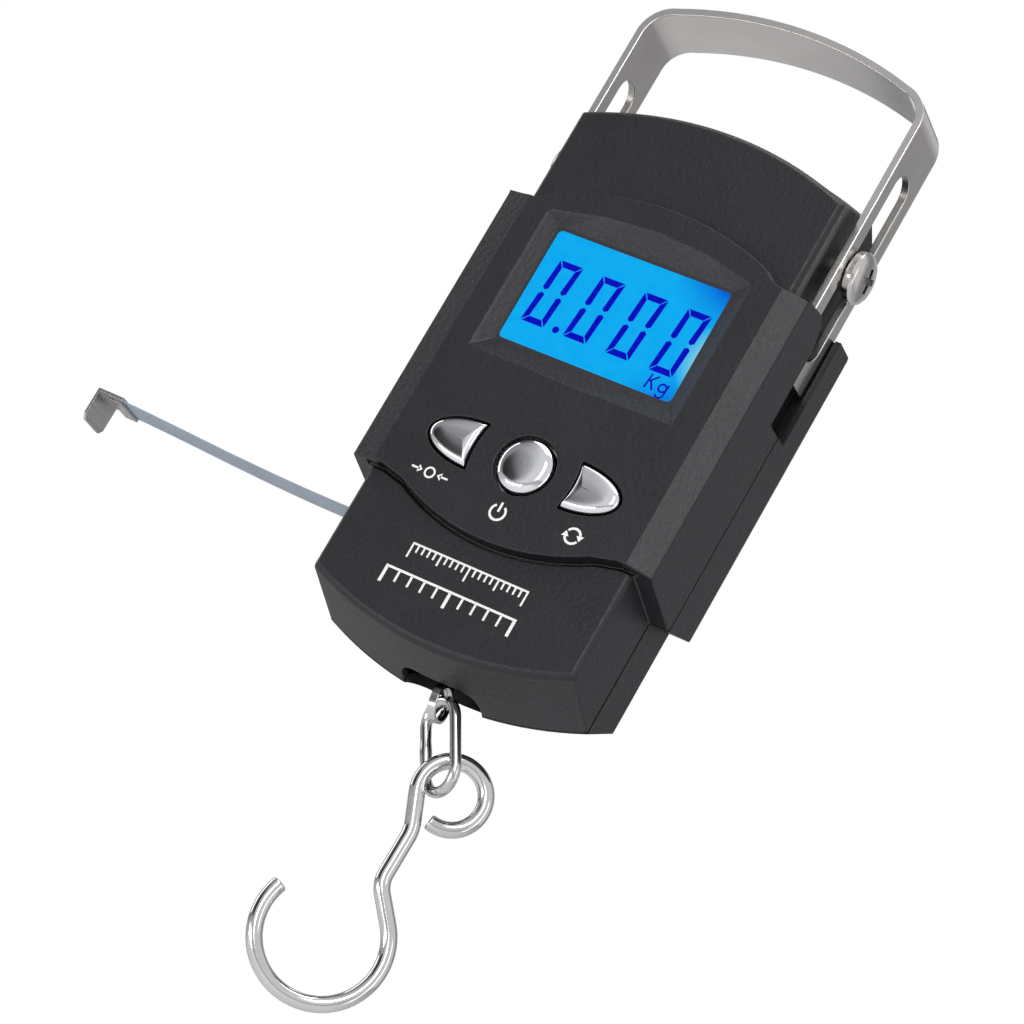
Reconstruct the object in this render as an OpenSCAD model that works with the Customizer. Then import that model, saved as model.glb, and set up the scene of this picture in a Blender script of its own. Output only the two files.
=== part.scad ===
// Hanging digital fish scale with a sliding handle, a load hook and a pull-out tape.
// The modules below work in the case frame: x to the right, y from the front face to the
// back, z up, with z = 0 half way up the case. at_grip() moves them to the part's own
// frame, whose origin is the middle of the handle's grip.

/* [Case] */
// Half the width of the wide middle section
wide_half = 35.6; // [34:0.1:38]
// Half the width of the narrow top and bottom sections
narrow_half = 31.1; // [30:0.1:32]
// Depth from the front face to the back face
case_depth = 33.8; // [33:0.1:36]
// Height of the narrow section's front face at its middle
face_height = 122; // [120:0.5:126]
// How far the middle section stands out in front of the narrow ones
face_step = 2.4; // [2:0.1:3]
// Where the two shells meet, measured from the front face
parting_y = 20; // [19.5:0.1:20.5]
// How far the end walls bulge out at the parting line
end_bulge = 4.9; // [3:0.1:6]
// Wall thickness
wall = 2; // [1.6:0.1:2.2]

/* [Handle] */
// Half the width over the handle's arms
handle_half = 33.9; // [33.6:0.1:34.1]
// Width of the steel strip
strip_width = 15; // [13:0.5:15]
// Thickness of the steel strip
strip = 1.7; // [1.5:0.1:1.8]
// Height of the top of the grip above the middle of the case
handle_top = 91.3; // [88:0.1:96]
// Radius of the arched grip
grip_radius = 86; // [80:1:100]
// Height of the handle screws above the middle of the case
screw_z = 47; // [45:0.5:48]

/* [Load hook] */
// Diameter of the hook's wire
hook_wire = 3.4; // [3:0.1:3.4]
// Radius of the hook's bowl, to the middle of the wire
bowl_radius = 12.94; // [12:0.02:14]
// Radius of the hook's ring, to the middle of the wire
ring_radius = 6.75; // [6.5:0.05:7]
// Diameter of the chain link's wire
link_wire = 2.3; // [2:0.1:2.3]
// How far the hook's plane is turned from the case's plane
hook_turn = 28; // [26:1:30]

/* [Display and buttons] */
// Width of the display window
window_w = 41; // [38:0.5:42]
// Height of the display window
window_h = 25.8; // [24:0.2:27]
// Height of the window's middle
window_z = 15.95; // [15:0.05:17]
// Diameter of the round button
power_d = 12.4; // [11:0.2:13]

/* [Tape] */
// Width of the tape
tape_width = 9; // [8:0.5:9]
// How far the tape's end tab stands out from the case
tape_out = 71; // [65:1:75]
// Radius of the wound coil of tape
coil_radius = 11.4; // [11:0.1:12]

/* [Hidden] */
$fn = 64;

mid_y = case_depth / 2;
grip_z = handle_top - strip;
back_narrow = case_depth - 2.7;
face_top = face_height / 2;
side_z = 54.9;
arc_r = (pow(narrow_half, 2) + pow(face_top - side_z, 2)) / (2 * (face_top - side_z));
chamfer_x = 29.9;
chamfer_y = 1.7;
seam = 0.12;

// Middle section: shoulders and the arches above and below them
shoulder_top = 33;
shoulder_low = -31;
arch_top = 40.3;
arch_low = -37.6;

arm_gap = 0.4;
slot_half = 3.9;
slot_top = 70.7 - slot_half;
slot_low = 26.9 + slot_half;
arm_low = 21.3;
arm_z = 1.2;
side_x = handle_half + arm_gap;

reel_x = 0;
reel_z = -25.4;
tape_y = 24.8;
tape_z = reel_z - coil_radius;
tab_z = tape_z + 1.6;
tab_x = -narrow_half - tape_out;

// Radius of the mouth in the case's foot; the eye and the link swing in it
mouth_r = 4.4;
eye_pivot_z = -57.5;
eye_tilt = 9.27;
eye_reach = 9.35;
eye_r = 3.7;
eye_t = 1.8;
eye_neck = 1.6;
eye_hole = 2.8;
eye_flare = 0.5;
link_round = 4.45;
link_straight = 9.9;
link_tilt = 31.3;
link_turn = -31;
eye_x = eye_reach * sin(eye_tilt);
eye_z = eye_pivot_z - eye_reach * cos(eye_tilt);
ring_at = [12.78, mid_y + 2.1, -82.2];
bowl_at = [-8.22, -36.29];
tip_angle = 159.4;

black = "#2b2c2f";
steel = "#c9cac8";
chrome = "#dfe2e6";
brass = "#c8a24a";

module at_grip() translate([0, -mid_y, -grip_z]) children();

// Turns a drawing in x and z into a plate that runs from y0 to y1
module plate(y0, y1) translate([0, y1, 0]) rotate([90, 0, 0]) linear_extrude(y1 - y0) children();

// A cylinder along y, from y0 to y1
module pin_y(x, z, r, y0, y1) translate([x, y1, z]) rotate([90, 0, 0]) cylinder(r = r, h = y1 - y0);

// A cylinder along x, from x0 to x1
module pin_x(y, z, r, x0, x1) translate([x0, y, z]) rotate([0, 90, 0]) cylinder(r = r, h = x1 - x0);

module box(x0, x1, y0, y1, z0, z1) translate([x0, y0, z0]) cube([x1 - x0, y1 - y0, z1 - z0]);

module both_sides() for (s = [0, 1]) mirror([s, 0, 0]) children();

// Outline of the narrow body: straight sides, and an arc above and below
function end_arc(half, apex, n = 24) = [for (i = [0:n]) let (x = half - 2 * half * i / n)
    [x, apex - arc_r + sqrt(pow(arc_r, 2) - x * x)]];
module narrow_outline(inset, bulge)
    polygon(concat(end_arc(narrow_half - inset, face_top + bulge - inset),
        [for (p = end_arc(narrow_half - inset, face_top + bulge - inset)) [-p[0], -p[1]]]));

// Outline of the middle section's face: an arch runs down to the shoulders on both sides
function arch(half, apex, r, s, n = 20) = [for (i = [0:n]) let (x = half - 2 * half * i / n)
    [x * s, s * (apex - r + sqrt(r * r - x * x))]];
module wide_outline()
    polygon(concat([[wide_half, shoulder_top], [29, shoulder_top], [27, 33.8]],
        arch(24.5, arch_top, 67, 1), [[-27, 33.8], [-29, shoulder_top], [-wide_half, shoulder_top],
        [-wide_half, shoulder_low], [-28, shoulder_low], [-26, -31.5]],
        arch(22.5, -arch_low, 50, -1), [[26, -31.5], [28, shoulder_low], [wide_half, shoulder_low]]));

// One half of the narrow body, from its outer face to the parting line, with round edges
module narrow_half_body(face, line, inset = 0) {
    dir = line > face ? 1 : -1;
    steps = [[0, 1.1], [0.25, 0.55], [0.7, 0.15], [1.2, 0]];
    hull() {
        for (s = steps) let (y = face + dir * s[0])
            plate(min(y, y + dir * 0.02), max(y, y + dir * 0.02))
                narrow_outline(s[1] + inset, end_bulge * s[0] / abs(line - face));
        plate(min(line, line - dir * 0.02), max(line, line - dir * 0.02))
            narrow_outline(inset, end_bulge);
    }
}

// Cross-section of the middle section across its width: the side edges have a wide chamfer
module wide_section()
    polygon([[-wide_half, chamfer_y], [-chamfer_x, 0], [chamfer_x, 0], [wide_half, chamfer_y],
        [wide_half, case_depth - 3.5], [wide_half - 1, case_depth - 1], [wide_half - 2.4, case_depth],
        [2.4 - wide_half, case_depth], [1 - wide_half, case_depth - 1], [-wide_half, case_depth - 3.5]]);

// Side view of the wings that stand out beside the narrow body
module wing_profile()
    polygon([[0, shoulder_top - 2.4], [0.7, shoulder_top - 0.7], [2.4, shoulder_top + 0.3],
        [parting_y, 35.4], [case_depth - 1, 35.4], [case_depth, 34.4],
        [case_depth, -28.6], [case_depth - 0.8, -30.8], [case_depth - 2.8, -32],
        [parting_y, -34.6], [0, shoulder_low]]);

module wings() both_sides()
    translate([29, 0, 0]) rotate([90, 0, 90]) linear_extrude(wide_half - 29) wing_profile();

module middle_section() intersection() {
    union() {
        wings();
        plate(0, face_step + 1) wide_outline();
        plate(back_narrow - 1, case_depth) wide_outline();
    }
    translate([0, 0, -50]) linear_extrude(100) wide_section();
}

// Space for the handle's arms: a closed channel in each wing and a recess above it
module arm_space() both_sides() {
    box(narrow_half + 0.4, side_x, mid_y - strip_width / 2 - arm_gap,
        mid_y + strip_width / 2 + arm_gap, arm_z, 60);
    box(narrow_half - 0.7, wide_half + 1, 6.4, case_depth - 6.4, shoulder_top + 2.6, 70);
    // Side opening, square below and rounded towards the front above
    box(side_x - 1, wide_half + 1, 14.2, 23.8, 10.6, 40);
    difference() {
        box(side_x - 1, wide_half + 1, 6.2, 14.4, 27.2, 40);
        pin_x(6.2, 27.2, 8, 30, wide_half + 2);
    }
    pin_x(mid_y, screw_z, 2.75, 20, wide_half);
}

// Mouth in the bottom for the load eye
module mouth() hull() both_sides() translate([5, 0, 0]) {
    translate([0, 17.8, -75]) cylinder(r = mouth_r, h = 25, $fn = 32);
    translate([0, 20.6, -75]) cylinder(r = mouth_r, h = 25, $fn = 32);
}

// Posts for the four case screws
post_at = [[25.5, -50.5], [-25.5, -50.5], [14, 55.2], [-14, 55.2]];

// Front shell

lip = 2.1;
lens_y = 2.95;

// Outline of the display window, grown all round
module window(grow) translate([-0.5, window_z]) square([window_w + grow, window_h + grow], center = true);

module display_recess() {
    hull() {
        plate(-0.05, 0) polygon([[23.8, -1.2], [23.8, 31.2], [12, 34], [0, 34.9], [-12, 34], [-24.5, 31.2],
            [-24.5, -1.2], [0, -2]]);
        plate(lip - 0.02, lip + 0.02) window(0.5);
    }
    plate(lip, lens_y + 3) window(4.2);
}

// Outline of a side button: half an ellipse whose slightly hollow side faces the round button
moon_x = 11.2;
moon_len = 11.2;
moon_half = 5.05;
moon_hollow = 0.7;
moon_mid = 16.4;
button_z = -20.5;
function moon_rim(g) = [for (i = [0:28]) let (a = 180 * i / 28 - 90)
    [moon_x + (moon_len + g) * cos(a), button_z + (moon_half + g) * sin(a)]];
function moon_side(g) = [for (i = [0:8]) let (h = 1 - i / 4)
    [moon_x + moon_hollow * (1 - h * h) - g, button_z + (moon_half + g) * h]];
module moon(grow = 0) polygon(concat(moon_rim(grow), moon_side(grow)));

module button_holes() {
    pin_y(0.3, -20.5, power_d / 2 + 0.35, -1, 6);
    plate(-1, 6) moon(0.35);
    plate(-1, 6) mirror([1, 0]) moon(0.35);
}

module front_cavity() difference() {
    union() {
        intersection() {
            narrow_half_body(face_step + wall, parting_y + 0.02, wall);
            box(-50, 50, face_step + wall, parting_y + 1, -70, 70);
        }
        plate(wall + 0.4, face_step + wall + 0.5) intersection() {
            offset(delta = -wall) wide_outline();
            square([2 * chamfer_x - 4, 90], center = true);
        }
    }
    for (p = post_at) pin_y(p[0], p[1], 3.3, 0, parting_y);
    both_sides() box(20, 32, mid_y - 6, mid_y + 5, screw_z - 7, screw_z + 6);
}

// Narrow groove in the lower face, right below the middle section
module lower_groove() plate(face_step - 1, face_step + 0.9) intersection() {
    difference() {
        offset(delta = 0.85) wide_outline();
        wide_outline();
    }
    translate([-narrow_half - 1, -50]) square([2 * narrow_half + 2, 50 + shoulder_low]);
}

module front_shell() at_grip() color(black) difference() {
    union() {
        narrow_half_body(face_step, parting_y - seam);
        intersection() {
            middle_section();
            box(-60, 60, -1, parting_y - seam, -80, 80);
        }
    }
    front_cavity();
    arm_space();
    mouth();
    display_recess();
    lower_groove();
    button_holes();
    for (p = post_at) pin_y(p[0], p[1], 1.15, face_step + 3, parting_y);
    box(-29.4, 29.4, mid_y - 4.6, mid_y + 4.6, screw_z - 5.1, screw_z + 5.1);
}

// Rear shell

bay = [-12.4, 12.4, -10.6, 38.4];
bay_floor = parting_y + 1.4;
back_wall = 1.6;

// Posts that carry the plate of the tape reel, measured from the reel's middle
reel_post = [[17.5, 4, case_depth - 1], [-17.5, 4, case_depth - 1], [0, -18, back_narrow - 0.5]];

module rear_cavity() difference() {
    union() {
        intersection() {
            narrow_half_body(back_narrow - back_wall, parting_y - 0.02, wall);
            box(-50, 50, parting_y - 1, back_narrow - back_wall, -70, 70);
        }
        plate(back_narrow - back_wall - 0.5, case_depth - wall) intersection() {
            offset(delta = -wall) wide_outline();
            square([2 * chamfer_x - 4, 90], center = true);
        }
    }
    box(bay[0] - 1.4, bay[1] + 1.4, parting_y + 0.6, 50, bay[2] - 1.4, bay[3] + 1.4);
    for (p = post_at) pin_y(p[0], p[1], 3.8, parting_y, 40);
}

// Tongue around the parting line that fits inside the front shell
module tongue() difference() {
    union() {
        plate(parting_y - 1.3, parting_y + 0.5) difference() {
            narrow_outline(wall + 0.15, end_bulge - 0.35);
            narrow_outline(wall + 1, end_bulge - 0.35);
        }
        plate(parting_y + 0.4, parting_y + 1.2) difference() {
            narrow_outline(wall - 0.8, end_bulge - 0.35);
            narrow_outline(wall + 1, end_bulge - 0.35);
        }
    }
    both_sides() box(14, 32, 10, 22, screw_z - 8, screw_z + 7);
    box(-32, -28, 10, 22, tape_z - 3, tape_z + 3);
    for (p = post_at) pin_y(p[0], p[1], 4, 10, parting_y + 0.12);
    box(-12, 12, 10, 22, -70, -55);
}

module battery_bay() {
    box(bay[0], bay[1], bay_floor, 50, bay[2], bay[3]);
    // Opening for the cover, with a ledge all round
    box(bay[0] - 1.3, bay[1] + 1.3, case_depth - 2, 50, bay[2] - 3.2, bay[3] - 0.6);
}

module rear_shell() at_grip() color(black) difference() {
    union() {
        difference() {
            union() {
                narrow_half_body(back_narrow, parting_y + seam);
                intersection() {
                    middle_section();
                    box(-60, 60, parting_y + seam, 60, -80, 80);
                }
            }
            rear_cavity();
        }
        tongue();
        for (p = reel_post) pin_y(reel_x + p[0], reel_z + p[1], 2.6, parting_y - 0.65, p[2]);
    }
    battery_bay();
    arm_space();
    mouth();
    for (p = post_at) {
        pin_y(p[0], p[1], 1.6, 0, 40);
        pin_y(p[0], p[1], 2.9, back_narrow - 2.2, 40);
    }
    // Slit for the tape and the seat of the release button
    box(-40, -20, parting_y - 2, tape_y + tape_width / 2 + 0.4, tape_z - 0.7, tape_z + 0.9);
    pin_y(reel_x, reel_z, 5.35, 25, 40);
    for (p = reel_post) pin_y(reel_x + p[0], reel_z + p[1], 0.85, parting_y - 1, case_depth - 5);
    box(-29.4, 29.4, mid_y - 4.6, mid_y + 4.6, screw_z - 5.1, screw_z + 5.1);
}

module case_screws() at_grip() color(steel) for (p = post_at) difference() {
    union() {
        pin_y(p[0], p[1], 1.1, 8, back_narrow - 2.1);
        pin_y(p[0], p[1], 2.5, back_narrow - 2.15, back_narrow - 0.5);
    }
    for (a = [0, 90]) translate([p[0], back_narrow, p[1]]) rotate([0, a, 0])
        cube([3, 2.4, 0.6], center = true);
}

// Display

module display_lens() at_grip() color([0.75, 0.85, 0.9, 0.35])
    plate(lip + 0.05, lens_y) window(4);

module display_glass() at_grip() color("#2a9fff")
    plate(lens_y + 0.05, lens_y + 1.65) window(3.4);

module backlight() at_grip() color("#e8f2ff")
    plate(lens_y + 1.7, 8.5) window(2.6);

// Electronics

board_hole = [[23.5, -29.5], [-23.5, -29.5], [25, 5], [-25, 5]];

module circuit_board() at_grip() color("#1f6b3a") difference() {
    box(-27, 27, 8.6, 10.2, -33, 31.5);
    for (p = board_hole) pin_y(p[0], p[1], 1.1, 8, 11);
}

module chip_cover() at_grip() color("#151515") intersection() {
    translate([17.5, 10.2, -12]) rotate([-90, 0, 0]) scale([1, 1, 0.22]) sphere(r = 6, $fn = 32);
    box(10, 25, 10.2, 13, -20, -4);
}

module board_screws() at_grip() color(steel) for (p = board_hole) {
    pin_y(p[0], p[1], 1, 6, 10.4);
    pin_y(p[0], p[1], 1.9, 10.25, 11.2);
}

module button_pad() at_grip() color("#9a9c9f")
    plate(7.4, 8.5) translate([0, -20.6]) square([42, 14], center = true);

// Each button has a skirt behind the shell's wall; its cap is domed, with a flat, dished middle
skirt_y = 2.5;

module power_button() at_grip() color(chrome) {
    translate([0.3, 0, -20.5]) rotate([-90, 0, 0]) rotate_extrude() polygon([[0, -0.75],
        [2.6, -0.85], [3.2, -1.25], [4.2, -1.2], [5.1, -0.8], [5.8, 0], [6.2, 1], [6.2, skirt_y],
        [7, skirt_y], [7, skirt_y + 1.2], [2.5, skirt_y + 1.2], [2.5, 6.5], [0, 6.5]]);
}

module moon_button() {
    dome_r = 24;
    intersection() {
        plate(-2, skirt_y + 0.1) moon(0);
        translate([moon_mid, dome_r - 1.1, button_z]) sphere(r = dome_r, $fn = 96);
    }
    plate(skirt_y, skirt_y + 1.2) moon(0.9);
    pin_y(moon_mid, button_z, 2.2, skirt_y + 1, 6.5);
}

module unit_button() at_grip() color(chrome) moon_button();

module tare_button() at_grip() color(chrome) mirror([1, 0, 0]) moon_button();

// Handle

corner_r = 8;
corner_x = handle_half - corner_r;
crown_z = handle_top - grip_radius;
// The corners stand a hair proud of the crown's arc, so the two arcs cross cleanly
proud = 0.05;
corner_z = crown_z + sqrt(pow(grip_radius - corner_r, 2) - corner_x * corner_x) + proud;

// Region inside the handle's outer line, moved inwards by t
module grip_region(t) intersection() {
    union() {
        translate([-handle_half + t, 0]) square([2 * (handle_half - t), corner_z]);
        intersection() {
            translate([0, crown_z]) circle(r = grip_radius - t, $fn = 360);
            translate([0, crown_z]) polygon([[0, 0], [-corner_x, corner_z - crown_z] * 1.5,
                [corner_x, corner_z - crown_z] * 1.5]);
        }
        for (s = [-1, 1]) translate([s * corner_x, corner_z]) circle(r = corner_r - t, $fn = 96);
    }
    translate([-50, arm_low]) square([100, 100]);
}

module handle() at_grip() color(steel) difference() {
    intersection() {
        plate(mid_y - strip_width / 2, mid_y + strip_width / 2) difference() {
            grip_region(0);
            grip_region(strip);
        }
        translate([-50, mid_y, 0]) rotate([90, 0, 90]) linear_extrude(100) union() {
            translate([-strip_width / 2, arm_low + 2]) square([strip_width, 90]);
            translate([-strip_width / 2 + 2, arm_low]) square([strip_width - 4, 4]);
            for (s = [-1, 1]) translate([s * (strip_width / 2 - 2), arm_low + 2]) circle(r = 2);
        }
    }
    both_sides() {
        pin_x(mid_y, slot_low, slot_half, 25, 40);
        pin_x(mid_y, slot_top, slot_half, 25, 40);
        box(25, 40, mid_y - slot_half, mid_y + slot_half, slot_low, slot_top);
    }
}

module handle_bushes() at_grip() color(steel) both_sides() difference() {
    pin_x(mid_y, screw_z, 3.7, narrow_half - 0.68, handle_half + 0.2);
    pin_x(mid_y, screw_z, 2.55, 20, 40);
}

module handle_screws() at_grip() color(steel) both_sides() difference() {
    union() {
        pin_x(mid_y, screw_z, 2.5, 19, handle_half + 0.3);
        translate([handle_half + 0.22, mid_y, screw_z]) rotate([0, 90, 0]) rotate_extrude()
            polygon([[0, 0], [5.2, 0], [5.5, 0.3], [5.5, 1.6], [5.2, 2.2], [4.5, 2.7], [3.4, 3.1],
                [1.8, 3.3], [0, 3.35]]);
    }
    translate([handle_half + 3.2, mid_y, screw_z]) rotate([20, 0, 0]) for (a = [0, 90])
        rotate([a, 0, 0]) cube([3.6, 5.2, 1.3], center = true);
}

// Load path

module load_bracket() at_grip() color(steel) difference() {
    box(-29, 29, mid_y - 4, mid_y + 4, screw_z - 4.6, screw_z + 4.6);
    both_sides() pin_x(mid_y, screw_z, 2.5, 17, 30);
    for (x = [-5, 5]) pin_y(x, screw_z, 1.6, 5, 30);
}

cell_top = screw_z + 4;
cell_low = -51;
cell_y = 10.5;

module load_cell() at_grip() color("#b9bcc0") difference() {
    box(-9, 9, cell_y, mid_y - 4.1, cell_low, cell_top);
    for (x = [-5, 5]) pin_y(x, screw_z, 1.6, 5, 30);
    // Binocular window and the two cuts that make the beam bend
    for (z = [-3, 9]) pin_y(0, z, 4, 5, 30);
    box(-1, 1, 5, 30, -3, 9);
    box(-10, 3, 5, 30, 17, 18.4);
    box(-3, 10, 5, 30, -12.4, -11);
    for (x = [-4, 4]) pin_y(x, cell_low + 5, 1.6, 5, 30);
}

module cell_screws() at_grip() color(steel) {
    for (x = [-5, 5]) {
        pin_y(x, screw_z, 1.55, cell_y - 1, mid_y + 3);
        pin_y(x, screw_z, 2.8, cell_y - 1.9, cell_y - 0.05);
    }
    for (x = [-4, 4]) {
        pin_y(x, cell_low + 5, 1.55, cell_y - 1, mid_y - 2.5);
        pin_y(x, cell_low + 5, 2.6, cell_y - 1.9, cell_y - 0.05);
    }
}

module strain_gauges() at_grip() color("#c98a2b") for (z = [-3, 9], s = [-1, 1])
    box(s > 0 ? 9.02 : -9.17, s > 0 ? 9.17 : -9.02, cell_y + 0.3, cell_y + 1.9, z - 2.5, z + 2.5);

// The clevis bolts to the foot of the cell; its two ears hold the eye's pin
bridge_z = eye_pivot_z + 2.7;
module load_clevis() at_grip() color(steel) difference() {
    union() {
        box(-7.5, 7.5, mid_y - 4.05, mid_y - 2.65, cell_low + 0.5, cell_low + 9.5);
        box(-2.6, 2.6, mid_y - 4.05, mid_y - 2.65, eye_pivot_z, cell_low + 1);
        box(-2.6, 2.6, mid_y - 4.05, mid_y + 4.05, bridge_z, bridge_z + 2);
        box(-2.6, 2.6, mid_y + 2.65, mid_y + 4.05, eye_pivot_z, bridge_z + 2);
        for (y = [mid_y - 4.05, mid_y + 2.65]) pin_y(0, eye_pivot_z, 2.6, y, y + 1.4);
    }
    pin_y(0, eye_pivot_z, 1.22, 5, 30);
    for (x = [-4, 4]) pin_y(x, cell_low + 5, 1.55, 5, 30);
}

module eye_pin() at_grip() color(steel) {
    pin_y(0, eye_pivot_z, 1.2, mid_y - 4.5, mid_y + 4.5);
    pin_y(0, eye_pivot_z, 1.9, mid_y - 4.6, mid_y - 4.1);
    pin_y(0, eye_pivot_z, 1.9, mid_y + 4.1, mid_y + 4.6);
}

// Draws in the frame of the load eye: its pivot at the origin, its hole straight below
module in_eye() translate([0, mid_y, eye_pivot_z]) rotate([0, -eye_tilt, 0]) children();

module load_eye() at_grip() color(steel) in_eye() difference() {
    union() {
        pin_y(0, 0, 2.3, -2.5, 2.5);
        translate([-eye_t / 2, 0, 0]) rotate([90, 0, 90]) linear_extrude(eye_t) {
            translate([-eye_neck, -eye_reach]) square([2 * eye_neck, eye_reach]);
            translate([0, -eye_reach]) circle(r = eye_r);
            translate([-eye_r, -eye_reach - 0.6]) square([2 * eye_r, 0.6]);
            translate([0, -eye_reach - 0.6]) circle(r = eye_r);
        }
    }
    pin_y(0, 0, 1.25, -5, 5);
    // Hole with countersunk rims, so the link can swing
    pin_x(0, -eye_reach - 0.3, eye_hole, -5, 5);
    for (s = [-1, 1]) translate([0, 0, -eye_reach - 0.3]) rotate([0, s * 90, 0])
        cylinder(r1 = eye_hole - 0.2, r2 = eye_hole + eye_flare, h = eye_t / 2 + 0.02);
}

// Tube of radius r along a list of points
module tube(points, r, sides) {
    up = [0, 0, 1];
    last = len(points) - 1;
    function along(k) = points[min(k + 1, last)] - points[max(k - 1, 0)];
    function across(k) = let (c = cross(up, along(k))) c / norm(c);
    function above(k) = let (c = cross(along(k), across(k))) c / norm(c);
    rim = [for (k = [0:last], j = [0:sides - 1]) let (a = 360 * j / sides)
        points[k] + r * (cos(a) * across(k) + sin(a) * above(k))];
    faces = concat([[for (j = [0:sides - 1]) j]], [[for (j = [sides - 1:-1:0]) last * sides + j]],
        [for (k = [0:last - 1], j = [0:sides - 1]) let (m = (j + 1) % sides)
            [k * sides + j, (k + 1) * sides + j, (k + 1) * sides + m, k * sides + m]]);
    polyhedron(rim, faces, convexity = 8);
}

// Points of a bent wire in its own plane. Each run is [length, radius, turn]: a straight stretch,
// then a bend, to the left for a radius above 0
function bend(q, h, r, a) = q + abs(r) * sin(a) * [cos(h), sin(h)] + r * (1 - cos(a)) * [-sin(h), cos(h)];
function wire_points(runs, p, h, i = 0) = i == len(runs) ? [] :
    let (s = runs[i], q = p + s[0] * [cos(h), sin(h)], n = ceil(s[2] / 9))
    concat([for (k = [i == 0 || s[0] > 0 ? 0 : 1:n]) bend(q, h, s[1], s[2] * k / n)],
        wire_points(runs, bend(q, h, s[1], s[2]), h + sign(s[1]) * s[2], i + 1));

module chain_link() at_grip() color(steel)
    translate([eye_x, mid_y, eye_z]) rotate([0, -link_tilt, 0]) rotate([0, 0, link_turn])
        translate([0, 0, -link_round]) rotate([90, 0, 0])
            for (s = [0, 1]) translate([0, -s * link_straight, 0]) rotate([0, 0, s * 180]) {
                rotate_extrude(angle = 180) translate([link_round, 0]) circle(d = link_wire, $fn = 32);
                translate([link_round, 0, 0]) rotate([90, 0, 0])
                    cylinder(d = link_wire, h = link_straight, $fn = 32);
            }

hook_runs = [[0, bowl_radius, 240.6], [6, -6, 41], [8, 8, 23], [6.2, -ring_radius, 300]];
hook_tip = bowl_at + bowl_radius * [cos(tip_angle), sin(tip_angle)];

module hook() at_grip() color(steel) translate(ring_at) rotate([0, 0, hook_turn]) rotate([90, 0, 0])
    tube([for (p = wire_points(hook_runs, hook_tip, tip_angle + 90)) [p[0], p[1], 0]], hook_wire / 2, 16);

// Batteries

cell_d = 10.3;
cell_len = 43.6;
cell_z = -7.8;
contact_y = case_depth - 2 - cell_d / 2;

module battery(x) translate([x, contact_y, cell_z]) {
    cylinder(d = cell_d, h = cell_len);
    cylinder(d = 3.6, h = cell_len + 0.9);
}
module battery_left() at_grip() color(brass) battery(-5.6);
module battery_right() at_grip() color(brass)
    translate([0, 0, 2 * cell_z + cell_len]) mirror([0, 0, 1]) battery(5.6);

// Coil springs press on the flat ends
module coil_spring(r, wire, height, turns, n = 14)
    tube([for (k = [0:n * turns]) [r * cos(360 * k / n), r * sin(360 * k / n), height * k / n / turns]],
        wire, 8);
module battery_springs() at_grip() color(steel) {
    translate([-5.6, contact_y, bay[2] + 0.75]) coil_spring(2.6, 0.25, cell_z - bay[2] - 1.1, 3);
    translate([5.6, contact_y, bay[3] - 0.75]) mirror([0, 0, 1])
        coil_spring(2.6, 0.25, bay[3] - cell_z - cell_len - 1.1, 3);
}

module battery_plates() at_grip() color(steel) for (x = [-5.6, 5.6]) {
    box(x - 4, x + 4, contact_y - 4, contact_y + 4, bay[2] + 0.05, bay[2] + 0.45);
    box(x - 4, x + 4, contact_y - 4, contact_y + 4, bay[3] - 0.45, bay[3] - 0.05);
}

module battery_cover() at_grip() color(black) {
    difference() {
        box(bay[0] - 1.1, bay[1] + 1.1, case_depth - 1.8, case_depth, bay[2] - 3, bay[3] - 0.8);
        // Thumb grooves
        for (z = [bay[2] + 2 : 1.6 : bay[2] + 9])
            box(-7, 7, case_depth - 0.5, case_depth + 1, z, z + 0.8);
    }
}

// Tape

plate_y = parting_y - 1.8;

// Plate on three posts of the rear shell; it carries the reel's axle
module reel_plate() at_grip() color(steel) plate(plate_y, parting_y - 0.7) difference() {
    hull() for (p = concat(reel_post, [[0, 0]])) translate([reel_x + p[0], reel_z + p[1]]) circle(r = 3.4);
    for (p = reel_post) translate([reel_x + p[0], reel_z + p[1]]) circle(r = 1.1);
    translate([reel_x, reel_z]) circle(r = 1.6);
}

module reel_screws() at_grip() color(steel) for (p = reel_post) {
    pin_y(reel_x + p[0], reel_z + p[1], 0.8, plate_y - 0.5, case_depth - 6);
    pin_y(reel_x + p[0], reel_z + p[1], 1.9, plate_y - 1.2, plate_y - 0.05);
}

module tape_axle() at_grip() color(steel) pin_y(reel_x, reel_z, 1.6, plate_y - 0.6, 29.3);

module tape_spool() at_grip() color("#d8d9da") difference() {
    union() {
        pin_y(reel_x, reel_z, 5.6, parting_y + 0.35, 29.3);
        pin_y(reel_x, reel_z, coil_radius + 1.1, parting_y - 0.55, parting_y + 0.2);
        pin_y(reel_x, reel_z, 5.6, parting_y + 0.1, parting_y + 0.4);
    }
    pin_y(reel_x, reel_z, 1.65, 10, 40);
    pin_y(reel_x, reel_z, 4.9, parting_y + 1, 40);
}

module return_spring() at_grip() color("#6d7075") difference() {
    pin_y(reel_x, reel_z, 4.6, parting_y + 1.3, 28.6);
    pin_y(reel_x, reel_z, 1.9, 10, 40);
}

module tape_coil() at_grip() color("#9fb0bf") difference() {
    pin_y(reel_x, reel_z, coil_radius, tape_y - tape_width / 2, tape_y + tape_width / 2);
    pin_y(reel_x, reel_z, 5.62, 10, 40);
}

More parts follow.
